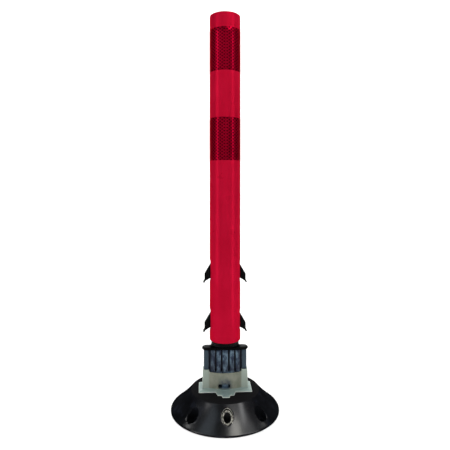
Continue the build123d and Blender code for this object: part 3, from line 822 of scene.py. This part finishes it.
def sleeves(material):
    """Two sleeves. Each mouth follows the flare's slope: a thin rim, a groove and a beaded inner lip."""
    bm = bmesh.new()
    count = 120
    beads = 18
    sunk = 2.2 * MM
    bead_height = 0.5 * MM
    rim_rise = 1.0 * MM
    mouth = [
        (POCKET_RADIUS, rim_rise),
        (POCKET_RADIUS - 0.4 * MM, rim_rise + 0.3 * MM),
        (POCKET_RADIUS - 0.8 * MM, rim_rise),
        (POCKET_RADIUS - 1.0 * MM, -1.6 * MM),
        (BOLT_HOLE_RADIUS + 2.4 * MM, -1.6 * MM),
        (BOLT_HOLE_RADIUS + 2.2 * MM, 0.2 * MM),
        (BOLT_HOLE_RADIUS + 1.7 * MM, 0.8 * MM),
        (BOLT_HOLE_RADIUS + 1.1 * MM, 0.9 * MM),
        (BOLT_HOLE_RADIUS + 0.5 * MM, 0.7 * MM),
        (BOLT_HOLE_RADIUS, 0.0),
    ]
    for x, y in SLEEVE_PLACES:
        columns = []
        for i in range(count):
            a = FULL_TURN * i / count
            bead = 0.5 + 0.5 * math.cos(beads * a)
            column = []
            for reach in (BOLT_HOLE_RADIUS, POCKET_RADIUS):
                column.append(bm.verts.new((x + reach * math.cos(a), y + reach * math.sin(a), 0.0)))
            for reach, rise in mouth:
                px, py = x + reach * math.cos(a), y + reach * math.sin(a)
                height = flare_height(math.hypot(px, py)) - sunk + rise
                if 0 < rise < rim_rise:
                    height += bead * bead_height
                column.append(bm.verts.new((px, py, height)))
            columns.append(column)
        for here, there in zip(columns, columns[1:] + columns[:1]):
            for k in range(len(here)):
                n = (k + 1) % len(here)
                bm.faces.new((here[k], there[k], there[n], here[n]))
    mouths = make_object("bolt_sleeve_ring", bm, 50)
    put(mouths, "base", "dark_steel", material, "bolt_sleeves")


def hinge_blocks(root_material, ribbed_material):
    """The two urethane castings, remeshed from their CAD shapes."""
    voxel = 0.65 * MM
    root = copy_of_node("root_block", "root_casting")
    cast(root, voxel, 3)
    put(root, None, "grey_urethane", root_material, "root_block")
    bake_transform(root)
    ribbed = copy_of_node("ribbed_block", "ribbed_casting")
    cast(ribbed, voxel, 4)
    put(ribbed, None, "slate_urethane", ribbed_material, "ribbed_block")
    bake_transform(ribbed)


def dress_hidden_nodes():
    """Give the CAD nodes that stay their plated-steel finishes."""
    zinc = steel("zinc_plate", srgb(176, 180, 184), 0.32)
    blued = steel("blued_steel", srgb(140, 162, 182), 0.45)
    bright = steel("barb_pin_steel", srgb(150, 152, 158), 0.28)
    finishes = {
        blued: ("centre_bolt", "centre_washer", "centre_nut"),
        zinc: (
            "backing_plate",
            "locating_pins",
            "middle_insert",
            "top_insert",
            "core_washer",
            "core_bolt",
        ),
        bright: ("barb_pins",),
    }
    for material, names in finishes.items():
        for name in names:
            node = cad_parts[name]
            node.data.materials.clear()
            node.data.materials.append(material)


# --- studio -------------------------------------------------------------------------------------


def area_light(name, place, target, width, height, power, colour=(1, 1, 1)):
    """A soft box at a place, aimed at a target."""
    data = bpy.data.lights.new(name, "AREA")
    data.shape = "RECTANGLE"
    data.size = width
    data.size_y = height
    data.energy = power
    data.color = colour
    light = bpy.data.objects.new(name, data)
    light.location = place
    light.rotation_euler = (Vector(target) - Vector(place)).to_track_quat("-Z", "Y").to_euler()
    bpy.context.scene.collection.objects.link(light)


def studio():
    """Pale floor sweeping up behind, and soft boxes to the left, right, above and in front."""
    bm = bmesh.new()
    half_width = 8.0
    front = -6.0
    back = 2.0
    wall_top = 6.0
    bend = 1.5
    bend_steps = 12
    path = [(front, 0.0), (back, 0.0)]
    for i in range(1, bend_steps + 1):
        a = math.pi / 2 * i / bend_steps
        path.append((back + bend * math.sin(a), bend - bend * math.cos(a)))
    path.append((back + bend, wall_top))
    rows = [[bm.verts.new((x, y, z)) for x in (-half_width, half_width)] for y, z in path]
    for near, far in zip(rows, rows[1:]):
        bm.faces.new((near[0], near[1], far[1], far[0]))
    floor = make_object("studio_floor", bm, 60)
    floor.data.materials.append(floor_paint())

    middle = (0, 0, 0.4)
    # (name, turn from the front in degrees, distance, width, height, power), all standing on the floor
    side_boxes = (("left_box", -62, 1.1, 0.35, 1.2, 4.2), ("right_box", 56, 0.62, 0.11, 1.0, 1.5))
    for name, turn, distance, width, height, power in side_boxes:
        a = math.radians(turn)
        place = (distance * math.sin(a), -distance * math.cos(a), height / 2)
        area_light(name, place, (0, 0, height / 2), width, height, power)
    area_light("left_wide", (-1.25, -1.05, 1.1), (0, 0, 0.6), 1.2, 0.6, 1.8)
    area_light("front_fill", (-0.2, -3.2, 1.2), middle, 3.6, 1.8, 14)
    area_light("overhead_right", (0.5, -0.5, 1.2), (0.5, -0.5, 0.0), 0.9, 0.9, 2.8)
    bluish = (0.75, 0.88, 1.0)
    area_light("overhead_left", (-0.55, -0.34, 1.15), (-0.55, -0.34, 0.0), 0.4, 0.6, 0.7, bluish)
    warm = (1.0, 0.98, 0.9)
    area_light("key_top", (0.27, -0.38, 1.06), (0, 0, 0.0), 0.26, 0.26, 1.4, warm)
    area_light("top_back", (0, 0.9, 2.6), (0, 0, 0), 1.5, 1.0, 26)
    area_light("backdrop_wash", (0, 1.0, 3.2), (0, 3.4, 1.2), 7.0, 1.0, 185)

    world = bpy.data.worlds.new("studio_air")
    world.use_nodes = True
    world.node_tree.nodes["Background"].inputs["Color"].default_value = (0.9, 0.93, 1.0, 1.0)
    world.node_tree.nodes["Background"].inputs["Strength"].default_value = 0.1
    bpy.context.scene.world = world


def camera():
    """A nearly level camera a little above the post's middle, 3 degrees left of straight in front."""
    turn = math.radians(3)
    tip_down = 0.27
    distance = 0.7804
    height = 0.3944
    data = bpy.data.cameras.new("camera")
    data.sensor_width = 36.0
    data.lens = 34.25
    data.shift_y = -0.07
    data.clip_start = 0.01
    eye = bpy.data.objects.new("camera", data)
    eye.location = (-distance * math.sin(turn), -distance * math.cos(turn), height)
    eye.rotation_euler = (math.radians(90 - tip_down), 0.0, -turn)
    bpy.context.scene.collection.objects.link(eye)
    bpy.context.scene.camera = eye


# --- the scene ----------------------------------------------------------------------------------


red = red_plastic()
black = black_plastic()
sheeting = reflective_sheeting()
spring_steel = steel("spring_steel", srgb(150, 152, 158), 0.28)

post_tube(red)
post_cap(red)
for band_node in ("upper_band", "lower_band"):
    reflective_band(band_node, sheeting)
collar(black)
core(black)
for level in LEVELS:
    for side in SIDES:
        barb(level, side, black)
        spring_half(level, side, spring_steel)
base(base_gloss())
sleeves(galvanised())
hinge_blocks(root_urethane(), ribbed_urethane())
dress_hidden_nodes()
studio()
camera()

bpy.context.scene.view_settings.view_transform = "Standard"
